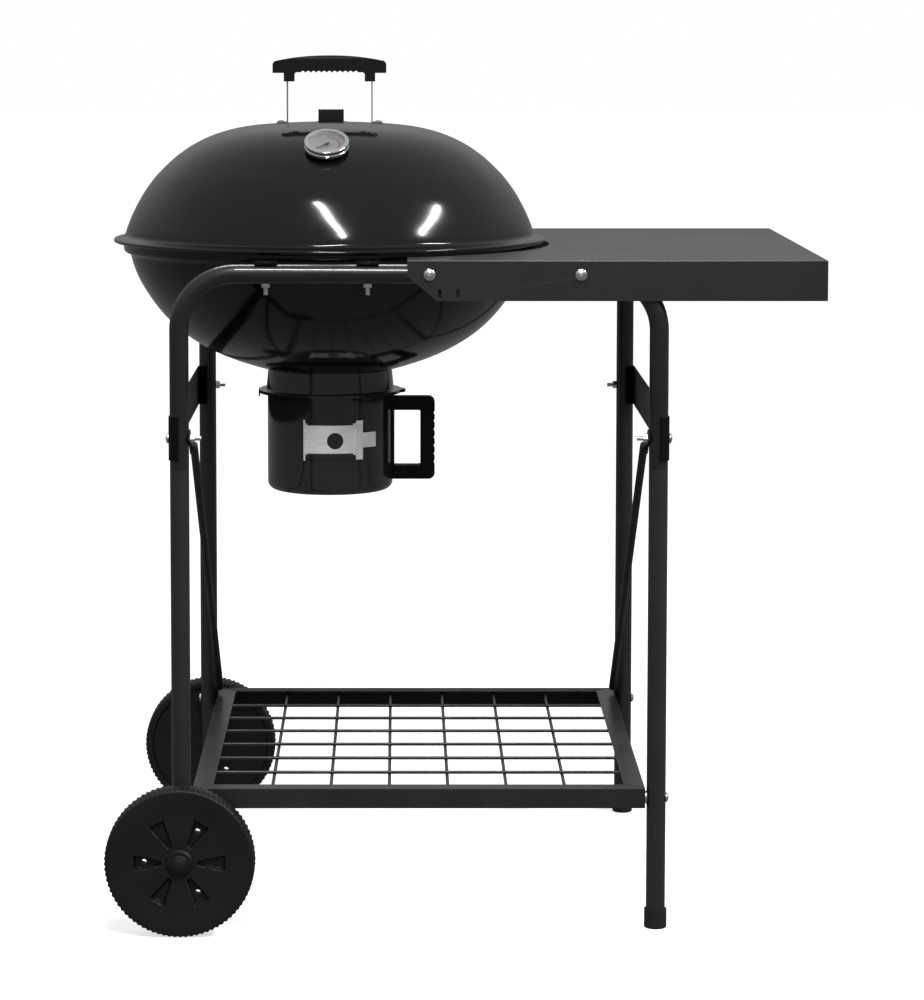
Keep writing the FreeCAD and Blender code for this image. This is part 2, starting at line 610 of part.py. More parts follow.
put("cooking_grate", disc_grate(254.0, 3.0, 2.0, 17.0, grate_z, (-120.0, 120.0)))
put("charcoal_grate", disc_grate(186.0, 3.0, 2.6, 24.0, COAL_Z, (-85.0, 85.0)))
# wire lifting handles of the cooking grate
loops = []
for s in (-1, 1):
    x = KETTLE_X + s * 226.0
    z = grate_z + 2.0 + 2.25
    hw, hh, rr = 40.0, 30.0, 8.0
    ed = [line((x, -hw, z), (x, -hw, z + hh - rr)),
          Part.Arc(V(x, -hw, z + hh - rr), V(x, -hw + rr * 0.293, z + hh - rr * 0.293), V(x, -hw + rr, z + hh)).toShape(),
          line((x, -hw + rr, z + hh), (x, hw - rr, z + hh)),
          Part.Arc(V(x, hw - rr, z + hh), V(x, hw - rr * 0.293, z + hh - rr * 0.293), V(x, hw, z + hh - rr)).toShape(),
          line((x, hw, z + hh - rr), (x, hw, z))]
    path = Part.Wire(ed)
    prof = Part.Wire([Part.makeCircle(2.2, V(x, -hw, z), V(0, 0, 1))])
    loops.append(path.makePipeShell([prof], True, True))
put("cooking_grate_handles", loops)

# ledges in the bowl that carry the two grates
tabs = []
for z_top, R, n, a0 in ((grate_z - 3.0 - 0.3, 252.0, 3, 90), (COAL_Z - 3.0 - 0.3, 184.0, 3, 0)):
    r_in_bowl = bowl_r(z_top - 1.0) - BOWL_T
    for k in range(n):
        a = 120 * k + a0
        t = box(R - 12, r_in_bowl + 10, -13, 13, z_top - 2.0, z_top)
        t.rotate(V(0, 0, 0), V(0, 0, 1), a)
        t.translate(V(KETTLE_X, 0, 0))
        tabs.append(t)
inner_bowl = revolve([line(kp(0, 860), kp(271.4, 860)), line(kp(271.4, 860), P5), b9.copy(), b10.copy(), b3.copy(),
                      line(bowl_inner[-1], (K, 0, bowl_inner[-1][2])), line((K, 0, bowl_inner[-1][2]), kp(0, 860))])
put("grate_ledges", [t.common(inner_bowl) for t in tabs])

put("bowl_shell", bowl)

# ---------------------------------------------------------------- ash collar and can
cz = COLLAR_FLANGE_Z


def bowl_z(r):
    """height of the bowl's outer surface at a radius"""
    lo, hi = 671.0, 826.0
    for _ in range(50):
        m = (lo + hi) / 2
        if bowl_r(m) < r:
            lo = m
        else:
            hi = m
    return lo


ct0, ct1 = bowl_z(81.0) - 0.08, bowl_z(82.4) - 0.08
collar = revolve([line(kp(81.0, ct0), kp(82.4, ct1)), line(kp(82.4, ct1), kp(84.8, cz + 3.2)),
                  Part.Arc(V(*kp(84.8, cz + 3.2)), V(*kp(85.4, cz + 1.9)), V(*kp(87.0, cz + 1.5))).toShape(),
                  line(kp(87.0, cz + 1.5), kp(95.0, cz + 1.5)), line(kp(95.0, cz + 1.5), kp(95.0, cz)),
                  line(kp(95.0, cz), kp(83.2, cz)), line(kp(83.2, cz), kp(81.0, ct0))])
# turned-down locating hooks, and a pull-out nose on the right
rim = revolve([line(kp(93.6, cz - 2.6), kp(95.0, cz - 2.6)), line(kp(95.0, cz - 2.6), kp(95.0, cz + 1.0)),
               line(kp(95.0, cz + 1.0), kp(93.6, cz + 1.0)), line(kp(93.6, cz + 1.0), kp(93.6, cz - 2.6))])
hooks = []
for a in (180, 60, 300):
    h = box(93.4, 95.0, -9, 9, cz - 8.0, cz + 1.0)
    h.rotate(V(0, 0, 0), V(0, 0, 1), a)
    h.translate(V(KETTLE_X, 0, 0))
    hooks.append(h)
nose = cyl(18.0, (KETTLE_X + 82.5, 0, cz - 2.6), (KETTLE_X + 82.5, 0, cz + 1.5)).cut(cyl(94.3, (KETTLE_X, 0, cz - 4), (KETTLE_X, 0, cz + 3)))
put("ash_collar", fuse([collar, rim] + hooks + [nose]))

z0, z1 = CAN_Z
r = CAN_R
fr = 11.0
can = revolve([line(kp(0, z0), kp(r - fr, z0)),
               Part.Arc(V(*kp(r - fr, z0)), V(*kp(r - fr * 0.293, z0 + fr * 0.293)), V(*kp(r, z0 + fr))).toShape(),
               line(kp(r, z0 + fr), kp(r, z1 - 3.2)), line(kp(r, z1 - 3.2), kp(r + 5.4, z1 - 1.6)),
               line(kp(r + 5.4, z1 - 1.6), kp(r + 5.4, z1)), line(kp(r + 5.4, z1), kp(r - CAN_T, z1)),
               line(kp(r - CAN_T, z1), kp(r - CAN_T, z0 + fr)),
               Part.Arc(V(*kp(r - CAN_T, z0 + fr)), V(*kp(r - CAN_T - (fr - CAN_T) * 0.293, z0 + CAN_T + (fr - CAN_T) * 0.293)),
                        V(*kp(r - fr, z0 + CAN_T))).toShape(),
               line(kp(r - fr, z0 + CAN_T), kp(0, z0 + CAN_T)), line(kp(0, z0 + CAN_T), kp(0, z0))])


def sector(r0, r1, za, zb, a0, a1):
    """curved plate on the can: angles in degrees from the front (-Y), positive towards +X"""
    f = Part.Face(Part.makePolygon([V(KETTLE_X + r0, 0, za), V(KETTLE_X + r1, 0, za), V(KETTLE_X + r1, 0, zb),
                                    V(KETTLE_X + r0, 0, zb), V(KETTLE_X + r0, 0, za)]))
    s = f.revolve(V(KETTLE_X, 0, 0), V(0, 0, 1), a1 - a0)
    s = Part.Solid(s.Shells[0]) if s.ShapeType != "Solid" else s
    s.rotate(V(KETTLE_X, 0, 0), V(0, 0, 1), -90 + a0)
    return s


def radial_hole(r_h, ang, z):
    a = math.radians(-90 + ang)
    return cyl(r_h, (KETTLE_X + 60 * math.cos(a), 60 * math.sin(a), z), (KETTLE_X + 110 * math.cos(a), 110 * math.sin(a), z))


HOLE_ANG = 5.6
TRAVEL = 16.0
can = can.cut(radial_hole(10.6, HOLE_ANG - TRAVEL, 587.0))
ra, rb = CAN_R + 0.3, CAN_R + 1.3
step = 2.75
band = sector(ra, rb, 568.2, 609.8, -21.4, 24.6)
tee = sector(ra + step, rb + step, 562.0, 613.5, 24.0, 30.6)
riser = sector(ra, rb + step, 571.4, 606.6, 24.0, 24.9)
tab = sector(ra + step, rb + step, 577.6, 597.2, 30.0, 44.5)
stop = sector(ra + step, rb + step, 561.0, 614.5, -22.6, -21.0)
riser2 = sector(ra, rb + step, 571.4, 606.6, -21.9, -21.2)
damper = fuse([band, tee, riser, tab, stop, riser2]).cut(radial_hole(10.8, HOLE_ANG, 587.0))
put("ash_can_damper", damper)
guides = []
for za, zb, zl0, zl1 in ((610.1, 614.6, 607.6, 614.6), (563.4, 567.9, 563.4, 570.4)):
    foot = sector(CAN_R + 0.03, CAN_R + 1.65, za, zb, -19.5, 21.5)
    lip = sector(CAN_R + 1.6, CAN_R + 2.6, zl0, zl1, -19.5, 21.5)
    guides.append(fuse([foot, lip]))
put("damper_guides", guides)
# handle: D shaped moulding on the right of the can
hx = KETTLE_X
hand_outer = box(hx + 78.0, hx + 139.5, -11.0, 11.0, 527.0, 637.6)
oe = [e for e in hand_outer.Edges if e.BoundBox.YLength > 20 and e.BoundBox.XMin > hx + 138]
hand_outer = hand_outer.makeFillet(8.5, oe)
hand_outer = hand_outer.makeFillet(2.2, [e for e in hand_outer.Edges if e.BoundBox.XMax > hx + 90 and e.BoundBox.YLength < 1e-3 and e.BoundBox.XLength + e.BoundBox.ZLength > 5 and e.BoundBox.XMin > hx + 78 - 1e-6])
hand_inner = box(hx + 60.0, hx + 120.2, -20, 20, 545.4, 619.6)
ie = [e for e in hand_inner.Edges if e.BoundBox.YLength > 20 and e.BoundBox.XMin > hx + 119]
hand_inner = hand_inner.makeFillet(2.0, ie)
handle = hand_outer.cut(hand_inner).cut(cyl(CAN_R + 0.04, (hx, 0, 500), (hx, 0, 700)))
back = sector(CAN_R + 0.04, CAN_R + 2.6, 533.0, 631.6, 90 - 9.5, 90 + 9.5)
ridges = []
for k in range(7):
    zz = 582.3 + (k - 3) * 11.0
    ridges.append(cyl(5.5, (hx + 143.7, -12, zz), (hx + 143.7, 12, zz)))
for q in ridges:
    handle = handle.cut(q)
scr_z = (536.3, 628.5)
h_screws = []
handle = fuse([handle, back])
for zz in scr_z:
    dr = cyl(2.05, (hx + 70, 0, zz), (hx + 104, 0, zz))
    handle = handle.cut(dr)
    can = can.cut(dr)
    hd = cyl(4.0, (hx + CAN_R - CAN_T - 2.4, 0, zz), (hx + CAN_R - CAN_T - 0.15, 0, zz))
    sh = cyl(2.0, (hx + CAN_R - CAN_T - 1.0, 0, zz), (hx + 103.5, 0, zz))
    h_screws.append(hd.fuse(sh).removeSplitter())
put("ash_can_handle", handle)
put("ash_can_handle_screws", h_screws)
put("ash_can", can)

# ---------------------------------------------------------------- lid handle
top_z = lid_z(56.0)[0]
STRIP_T, STRIP_W = 1.6, 18.0
hx0, hx1 = KETTLE_X - 55.8, KETTLE_X + 56.0
foot_z = top_z + 0.05
lid_outer_solid = revolve([e1.copy(), line(kp(*LID_PTS[-1]), kp(0, LID_PTS[-1][1])), line(kp(0, LID_PTS[-1][1]), kp(*LID_PTS[0]))])

# grip: arched top, two bosses that swallow the strip, finger scallops below
gx = KETTLE_X
gl = 75.0
pts_top = spline([(gx - gl + 6, 0, 1083.2), (gx - 45, 0, 1087.4), (gx, 0, 1090.0), (gx + 45, 0, 1087.4), (gx + gl - 6, 0, 1083.2)]).toShape()
prof = [pts_top,
        Part.Arc(V(gx + gl - 6, 0, 1083.2), V(gx + gl - 1.5, 0, 1081.3), V(gx + gl, 0, 1077.0)).toShape(),
        line((gx + gl, 0, 1077.0), (gx + gl, 0, 1067.0)), line((gx + gl, 0, 1067.0), (gx + 60.2, 0, 1067.0)),
        line((gx + 60.2, 0, 1067.0), (gx + 60.2, 0, 1055.8)), line((gx + 60.2, 0, 1055.8), (gx + 46.6, 0, 1055.8)),
        line((gx + 46.6, 0, 1055.8), (gx + 46.6, 0, 1064.5)),
        Part.Arc(V(gx + 46.6, 0, 1064.5), V(gx + 45.4, 0, 1067.0), V(gx + 42.5, 0, 1067.8)).toShape(),
        line((gx + 42.5, 0, 1067.8), (gx - 42.5, 0, 1067.8)),
        Part.Arc(V(gx - 42.5, 0, 1067.8), V(gx - 45.4, 0, 1067.0), V(gx - 46.6, 0, 1064.5)).toShape(),
        line((gx - 46.6, 0, 1064.5), (gx - 46.6, 0, 1055.8)), line((gx - 46.6, 0, 1055.8), (gx - 60.2, 0, 1055.8)),
        line((gx - 60.2, 0, 1055.8), (gx - 60.2, 0, 1067.0)), line((gx - 60.2, 0, 1067.0), (gx - gl, 0, 1067.0)),
        line((gx - gl, 0, 1067.0), (gx - gl, 0, 1077.0)),
        Part.Arc(V(gx - gl, 0, 1077.0), V(gx - gl + 1.5, 0, 1081.3), V(gx - gl + 6, 0, 1083.2)).toShape()]
grip = Part.Face(Part.Wire(prof)).extrude(V(0, 28, 0))
grip.translate(V(0, -14, 0))
# round the long edges with a rounded-bar envelope
env = box(gx - 80, gx + 80, -14, 14, 1050, 1091)
env = env.makeFillet(6.5, [e for e in env.Edges if e.BoundBox.XLength > 100 and e.BoundBox.ZMax > 1090.5])
BAR_Z = 1073.0
strip = []
for x, d in ((hx0, -1), (hx1, 1)):
    strip.append(box(x - STRIP_T / 2, x + STRIP_T / 2, -STRIP_W / 2, STRIP_W / 2, foot_z, BAR_Z + STRIP_T))
    a, b = sorted((x + d * 0.7, x + d * 14.0))
    strip.append(box(a, b, -STRIP_W / 2, STRIP_W / 2, foot_z, foot_z + STRIP_T))
strip.append(box(hx0 - STRIP_T / 2, hx1 + STRIP_T / 2, -STRIP_W / 2, STRIP_W / 2, BAR_Z, BAR_Z + STRIP_T))
bracket = fuse(strip).cut(lid_outer_solid)
grip = Part.Face(Part.Wire(prof)).extrude(V(0, 28, 0))
grip.translate(V(0, -14, 0))
grip = grip.common(env)
for k in range(-5, 6):
    grip = grip.cut(cyl(3.3, (gx + k * 7.0, -16, 1066.4), (gx + k * 7.0, 16, 1066.4)))
clear = fuse([box(x - STRIP_T / 2 - 0.1, x + STRIP_T / 2 + 0.1, -STRIP_W / 2 - 0.1, STRIP_W / 2 + 0.1, 1050.0, BAR_Z + STRIP_T + 0.1) for x in (hx0, hx1)]
             + [box(hx0 - STRIP_T / 2 - 0.1, hx1 + STRIP_T / 2 + 0.1, -STRIP_W / 2 - 0.1, STRIP_W / 2 + 0.1, BAR_Z - 0.1, BAR_Z + STRIP_T + 0.1)])
grip = grip.cut(clear)
h_bolts = []
for x, d in ((hx0, -1), (hx1, 1)):
    xb = x + d * 8.4
    zl = lid_z(abs(xb - KETTLE_X))[0]
    dr = cyl(2.6, (xb, 0, zl - 20), (xb, 0, zl + 20))
    lid = lid.cut(dr)
    bracket = bracket.cut(dr)
    zt = foot_z + STRIP_T
    hb = dome_head(4.2, 1.9, (xb, 0, zt + 0.02), (0, 0, 1)).fuse(cyl(2.5, (xb, 0, zt + 0.3), (xb, 0, zl - 9))).removeSplitter()
    h_bolts.append(hb)
    zin = zl - LID_T - 0.5
    h_bolts.append(hexagon(8.0, (xb, 0, zin), (0, 0, -1), 4.0).cut(cyl(2.55, (xb, 0, zl - 20), (xb, 0, zl + 5))))
put("lid_handle_bracket", bracket)
put("lid_handle_grip", grip)
put("lid_handle_bolts", h_bolts)

# ---------------------------------------------------------------- thermometer, on the lid's front slope
TR = 181.0
tz, ts = lid_z(TR)
tilt = ts
n_t = (0.0, -math.sin(tilt), math.cos(tilt))
o_t = (KETTLE_X, -TR, tz)
xd = (1, 0, 0)
TH_R = 28.5
bez = Part.makeCylinder(TH_R, 10.0, V(0, 0, 4.0))
bez = bez.makeFillet(1.6, [e for e in bez.Edges if abs(e.BoundBox.ZMin - 14.0) < 0.01 and abs(e.BoundBox.ZMax - 14.0) < 0.01])
groove = Part.makeTorus(TH_R + 0.6, 1.6, V(0, 0, 8.6), V(0, 0, 1))
bez = bez.cut(groove).cut(Part.makeCylinder(23.2, 9.0, V(0, 0, 6.0)))
seat = Part.makeCylinder(12.0, 5.2, V(0, 0, -1.2))
sleeve = Part.makeCylinder(5.0, 14.0, V(0, 0, -13.0))
housing = fuse([bez, seat, sleeve])
stem = Part.makeCylinder(2.2, 54.0, V(0, 0, -66.9))
housing = fuse([housing, stem])
lid_cut_t = placed(Part.makeCylinder(5.15, 40, V(0, 0, -30)), o_t, n_t, xd)
lid_pad = placed(Part.makeCylinder(12.2, 5.2, V(0, 0, -1.2)), o_t, n_t, xd)
lid = lid.cut(lid_cut_t)
hs = placed(housing, o_t, n_t, xd).cut(lid_outer_solid.cut(lid_cut_t))
put("thermometer_housing", [max(hs.Solids, key=lambda q: q.Volume)])
dial = Part.makeCylinder(23.0, 0.8, V(0, 0, 6.05)).cut(Part.makeCylinder(1.4, 4, V(0, 0, 4)))
put("thermometer_dial", placed(dial, o_t, n_t, xd))
needle = fuse([Part.makeCylinder(2.4, 1.0, V(0, 0, 7.6)), Part.makeCylinder(1.3, 1.6, V(0, 0, 6.05)),
               Part.Face(Part.makePolygon([V(-1.3, -4, 7.6), V(1.3, -4, 7.6), V(0.35, 17, 7.6), V(-0.35, 17, 7.6), V(-1.3, -4, 7.6)])).extrude(V(0, 0, 0.6))])
needle.rotate(V(0, 0, 0), V(0, 0, 1), 128)
put("thermometer_needle", placed(needle, o_t, n_t, xd))
lens = Part.makeCylinder(23.1, 1.6, V(0, 0, 11.2))
put("thermometer_lens", placed(lens, o_t, n_t, xd))
tn = hexagon(17.0, (0, 0, -LID_T - 1.6), (0, 0, -1), 4.5).cut(Part.makeCylinder(5.05, 40, V(0, 0, -30)))
put("thermometer_nut", placed(tn, o_t, n_t, xd))

# ---------------------------------------------------------------- lid vent, on the lid's rear slope
VR = 128.0
vz, vs = lid_z(VR)
n_v = (0.0, math.sin(vs), math.cos(vs))
o_v = (KETTLE_X, VR, vz)
VENT_R = 36.0
for k in range(4):
    a = math.radians(90 * k + 45)
    lid = lid.cut(placed(Part.makeCylinder(9.0, 30, V(20.5 * math.cos(a), 20.5 * math.sin(a), -20)), o_v, n_v, xd))
lid = lid.cut(placed(Part.makeCylinder(3.05, 30, V(0, 0, -20)), o_v, n_v, xd))
SR = 430.0
gap = 0.75
cap_o = Part.makeSphere(SR, V(0, 0, gap + 1.1 - SR))
cap_i = Part.makeSphere(SR - 1.1, V(0, 0, gap + 1.1 - SR))
disc = cap_o.cut(cap_i).common(Part.makeCylinder(VENT_R, 20, V(0, 0, -10)))
for k in range(4):
    a = math.radians(90 * k)
    disc = disc.cut(Part.makeCylinder(9.0, 30, V(20.5 * math.cos(a), 20.5 * math.sin(a), -15)))
disc = disc.cut(Part.makeCylinder(3.1, 30, V(0, 0, -15)))
# upstanding ear that carries the knob
ear = box(-10.0, 10.0, -33.2, -31.8, -0.2, 12.0)
disc = disc.fuse(ear).removeSplitter()
put("lid_vent_damper", placed(disc, o_v, n_v, xd))
knob = box(-17.2, 17.2, -38.0, -27.4, 1.9, 15.6)
knob = knob.makeFillet(1.4, [e for e in knob.Edges if e.BoundBox.ZMin > 5 or e.BoundBox.ZLength > 5])
knob = knob.fuse(box(-17.2, 17.2, -38.6, -36.5, -0.7, 9.0)).removeSplitter()
for k in range(-4, 5):
    knob = knob.cut(box(k * 3.4 - 0.5, k * 3.4 + 0.5, -38.2, -26.0, 14.6, 16.0))
knob = knob.cut(box(-10.1, 10.1, -33.3, -31.7, 0, 12.1))
put("lid_vent_knob", placed(knob, o_v, n_v, xd))
riv = fuse([dome_head(6.0, 2.4, (0, 0, gap + 1.35), (0, 0, 1)), Part.makeCylinder(3.0, 8.0, V(0, 0, -4.6)),
            Part.makeCylinder(6.0, 1.4, V(0, 0, -LID_T - 3.4))])
put("lid_vent_rivet", placed(riv, o_v, n_v, xd))
put("lid_shell", lid)

# ---------------------------------------------------------------- write
os.makedirs("parts", exist_ok=True)
for f in os.listdir("parts"):
    if f.endswith(".step"):
        os.remove(os.path.join("parts", f))
total = 0
for name in sorted(PARTS):
    solids = PARTS[name]
    bad = [i for i, s in enumerate(solids) if not s.isValid() or s.Volume <= 0]
    shape = solids[0] if len(solids) == 1 else Part.makeCompound(solids)
    shape.exportStep("parts/" + name + ".step")
    bb = shape.BoundBox
    total += 1
    print("%-26s %2d solids  vol %10.0f  x %7.1f..%7.1f y %7.1f..%7.1f z %7.1f..%7.1f %s" % (
        name, len(solids), sum(s.Volume for s in solids), bb.XMin, bb.XMax, bb.YMin, bb.YMax, bb.ZMin, bb.ZMax,
        "INVALID %s" % bad if bad else ""))
print(total, "nodes")
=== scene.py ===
import json
import math

import bmesh
import bpy
import numpy as np
from mathutils import Matrix, Vector


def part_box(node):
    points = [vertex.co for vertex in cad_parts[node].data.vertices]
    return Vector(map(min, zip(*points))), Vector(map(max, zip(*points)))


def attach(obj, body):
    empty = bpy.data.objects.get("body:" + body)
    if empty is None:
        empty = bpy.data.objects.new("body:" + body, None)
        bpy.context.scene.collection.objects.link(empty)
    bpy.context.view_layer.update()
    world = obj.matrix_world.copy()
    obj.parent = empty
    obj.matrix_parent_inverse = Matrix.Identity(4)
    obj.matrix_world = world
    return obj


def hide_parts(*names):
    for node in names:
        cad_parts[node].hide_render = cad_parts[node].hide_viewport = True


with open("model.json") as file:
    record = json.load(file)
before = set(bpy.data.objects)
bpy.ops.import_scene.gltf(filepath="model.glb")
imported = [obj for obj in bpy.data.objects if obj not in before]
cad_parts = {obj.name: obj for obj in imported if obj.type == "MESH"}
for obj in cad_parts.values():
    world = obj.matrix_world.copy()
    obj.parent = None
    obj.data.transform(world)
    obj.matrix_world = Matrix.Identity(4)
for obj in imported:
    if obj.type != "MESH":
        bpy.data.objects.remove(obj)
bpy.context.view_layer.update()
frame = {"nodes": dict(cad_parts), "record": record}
N = frame["nodes"]
MM = 0.001
BOX_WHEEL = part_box("front_wheel")
LID_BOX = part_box("lid_shell")
KX = (LID_BOX[0][0] + LID_BOX[1][0]) / 2 / MM      # kettle axis, mm
JOINTS = {j["name"]: j for j in frame["record"]["behaviour"]["joints"]}

# ------------------------------------------------------------------ materials


def material(name, base, rough, metal=0.0, ior=1.5, coat=0.0, coat_rough=0.03, tone=(7.0, 0.18), smudge=(11.0, 0.05),
             bumps=((900.0, 0.05, 0.0002),), stretch=(1, 1, 1), alpha=None, transmission=0.0, specks=None, aniso=0.0, warm=0.0, spec=0.5):
    """principled material whose colour, roughness and relief all vary over the surface"""
    m = bpy.data.materials.new(name)
    m.use_nodes = True
    nt = m.node_tree
    b = nt.nodes["Principled BSDF"]
    b.inputs["Metallic"].default_value = metal
    b.inputs["IOR"].default_value = ior
    b.inputs["Specular IOR Level"].default_value = spec
    b.inputs["Coat Weight"].default_value = coat
    b.inputs["Coat Roughness"].default_value = coat_rough
    b.inputs["Transmission Weight"].default_value = transmission
    b.inputs["Anisotropic"].default_value = aniso
    tc = nt.nodes.new("ShaderNodeTexCoord")
    mp = nt.nodes.new("ShaderNodeMapping")
    mp.inputs["Scale"].default_value = stretch
    nt.links.new(tc.outputs["Object"], mp.inputs["Vector"])

    def noise(scale, detail=4.0, rough_=0.55):
        n = nt.nodes.new("ShaderNodeTexNoise")
        n.inputs["Scale"].default_value = scale
        n.inputs["Detail"].default_value = detail
        n.inputs["Roughness"].default_value = rough_
        nt.links.new(mp.outputs["Vector"], n.inputs["Vector"])
        return n

    n1 = noise(tone[0], 6.0)
    ramp = nt.nodes.new("ShaderNodeValToRGB")
    lo = [c * (1 - tone[1]) for c in base]
    hi = [min(1.0, c * (1 + tone[1])) for c in base]
    hi[0] = min(1.0, hi[0] * (1 + warm))
    ramp.color_ramp.elements[0].position, ramp.color_ramp.elements[1].position = 0.32, 0.68
    ramp.color_ramp.elements[0].color = (*lo, 1)
    ramp.color_ramp.elements[1].color = (*hi, 1)
    nt.links.new(n1.outputs["Fac"], ramp.inputs["Fac"])
    colour = ramp.outputs["Color"]
    if specks:
        scale, amount, size = specks
        v = nt.nodes.new("ShaderNodeTexNoise")
        v.inputs["Scale"].default_value = scale
        v.inputs["Detail"].default_value = 1.0
        nt.links.new(mp.outputs["Vector"], v.inputs["Vector"])
        r2 = nt.nodes.new("ShaderNodeMapRange")
        r2.inputs["From Min"].default_value = size
        r2.inputs["From Max"].default_value = size + 0.08
        r2.inputs["To Max"].default_value = amount
        nt.links.new(v.outputs["Fac"], r2.inputs["Value"])
        mix = nt.nodes.new("ShaderNodeMix")
        mix.data_type = "RGBA"
        nt.links.new(r2.outputs["Result"], mix.inputs["Factor"])
        nt.links.new(colour, mix.inputs[6])
        mix.inputs[7].default_value = (min(1, base[0] * 2.4 + 0.01), min(1, base[1] * 2.4 + 0.01), min(1, base[2] * 2.4 + 0.01), 1)
        colour = mix.outputs[2]
    nt.links.new(colour, b.inputs["Base Color"])
    n2 = noise(smudge[0], 5.0)
    mr = nt.nodes.new("ShaderNodeMapRange")
    mr.inputs["From Min"].default_value, mr.inputs["From Max"].default_value = 0.3, 0.7
    mr.inputs["To Min"].default_value = max(0.01, rough - smudge[1])
    mr.inputs["To Max"].default_value = min(1.0, rough + smudge[1])
    nt.links.new(n2.outputs["Fac"], mr.inputs["Value"])
    nt.links.new(mr.outputs["Result"], b.inputs["Roughness"])
    prev = None
    for scale, strength, dist in bumps:
        nb = noise(scale, 3.0, 0.6)
        bp = nt.nodes.new("ShaderNodeBump")
        bp.inputs["Strength"].default_value = strength
        bp.inputs["Distance"].default_value = dist
        nt.links.new(nb.outputs["Fac"], bp.inputs["Height"])
        if prev is not None:
            nt.links.new(prev.outputs["Normal"], bp.inputs["Normal"])
        prev = bp
    if prev is not None:
        nt.links.new(prev.outputs["Normal"], b.inputs["Normal"])
    if alpha is not None:
        b.inputs["Alpha"].default_value = alpha
    return m


ENAMEL = material("enamel_black", (0.0035, 0.0035, 0.0038), 0.12, coat=0.12, coat_rough=0.04, spec=0.34, tone=(4.0, 0.2), smudge=(5.0, 0.03),
                  bumps=((30.0, 0.03, 0.0003), (900.0, 0.03, 0.00008)), specks=(900.0, 0.35, 0.72))
CAN_ENAMEL = material("can_enamel_black", (0.0200, 0.0200, 0.0208), 0.13, coat=0.45, coat_rough=0.05, tone=(14.0, 0.2), smudge=(16.0, 0.03),
                      bumps=((90.0, 0.05, 0.0003), (1100.0, 0.03, 0.00008)), specks=(1000.0, 0.35, 0.72))
FRAME_P = material("frame_powder_coat", (0.0190, 0.0190, 0.0197), 0.34, tone=(9.0, 0.16), smudge=(22.0, 0.05),
                   bumps=((1500.0, 0.16, 0.00012), (60.0, 0.03, 0.0003)), specks=(1400.0, 0.25, 0.66))
# darker copy of the frame powder coat for the front upper frame: painted shade, its base colour darker than on the
# other frame tubes; the clear coat catches the rail_glint lamp
FRAME_TOP_SHADE_COAT = material("frame_top_coat_painted_shade", (0.0105, 0.0105, 0.0110), 0.36, coat=0.45, coat_rough=0.05, spec=0.3, tone=(9.0, 0.16), smudge=(22.0, 0.05),
                     bumps=((1500.0, 0.16, 0.00012), (60.0, 0.03, 0.0003)), specks=(1400.0, 0.25, 0.66))
# darker copy of the frame and shelf paint for the braces and the shelf's rear rail: painted shade, darker than the legs
# and the other shelf rails
BRACE_SHADE_P = material("brace_paint_painted_shade", (0.0060, 0.0060, 0.0063), 0.46, spec=0.22, tone=(12.0, 0.2), smudge=(18.0, 0.06),
                   bumps=((1300.0, 0.14, 0.0001),), specks=(1300.0, 0.25, 0.66))
BRACKET_P = material("bracket_paint", (0.0022, 0.0022, 0.0024), 0.52, spec=0.14, tone=(12.0, 0.2), smudge=(18.0, 0.06),
                     bumps=((1300.0, 0.14, 0.0001),), specks=(1300.0, 0.2, 0.68))
SHELF_P = material("shelf_powder_coat", (0.0170, 0.0170, 0.0176), 0.33, tone=(10.0, 0.16), smudge=(20.0, 0.05),
                   bumps=((1500.0, 0.16, 0.00012),), specks=(1400.0, 0.25, 0.66))
TABLE_P = material("table_powder_coat", (0.0172, 0.0172, 0.0181), 0.36, tone=(6.0, 0.14), smudge=(9.0, 0.04),
                   bumps=((1400.0, 0.08, 0.00010),), specks=(1200.0, 0.3, 0.66))
HANDLE_P = material("handle_moulding", (0.0022, 0.0022, 0.0024), 0.55, spec=0.2, tone=(40.0, 0.18), smudge=(45.0, 0.07),
                    bumps=((2200.0, 0.3, 0.00012), (500.0, 0.06, 0.0002)))
WHEEL_P = material("wheel_moulding", (0.0055, 0.0055, 0.0058), 0.50, spec=0.38, tone=(18.0, 0.2), smudge=(24.0, 0.07),
                   bumps=((1700.0, 0.25, 0.00014), (150.0, 0.05, 0.0003)), specks=(700.0, 0.15, 0.68))
RUBBER = material("foot_rubber", (0.0090, 0.0090, 0.0090), 0.68, tone=(60.0, 0.25), smudge=(60.0, 0.08), bumps=((1300.0, 0.35, 0.0002),))
ZINC = material("zinc_plate", (0.60, 0.61, 0.63), 0.27, metal=1.0, tone=(160.0, 0.12), smudge=(220.0, 0.08),
                bumps=((1800.0, 0.12, 0.0001),), warm=0.04)
STEEL = material("stainless_brushed", (0.93, 0.93, 0.94), 0.38, metal=0.25, tone=(26.0, 0.10), smudge=(60.0, 0.07),
                 bumps=((420.0, 0.10, 0.0001),), stretch=(1, 1, 14), aniso=0.4)
STRAP = material("strap_steel", (0.50, 0.50, 0.51), 0.30, metal=1.0, tone=(30.0, 0.12), smudge=(60.0, 0.07),
                 bumps=((420.0, 0.08, 0.0001),), stretch=(6, 6, 1), aniso=0.3)
GRATE = material("grate_plating", (0.55, 0.55, 0.56), 0.22, metal=1.0, tone=(30.0, 0.18), smudge=(40.0, 0.08), bumps=((900.0, 0.08, 0.0001),), warm=0.05)
CHROME = material("dial_chrome", (0.80, 0.80, 0.82), 0.07, metal=1.0, tone=(30.0, 0.05), smudge=(50.0, 0.03), bumps=((300.0, 0.03, 0.0001),))
DIAL = material("dial_face_satin", (0.60, 0.60, 0.61), 0.38, metal=0.75, tone=(90.0, 0.08), smudge=(120.0, 0.06), bumps=((1500.0, 0.06, 0.00008),))
INK = material("dial_ink", (0.010, 0.010, 0.011), 0.45, tone=(300.0, 0.2), smudge=(300.0, 0.05), bumps=((2500.0, 0.1, 0.00005),))
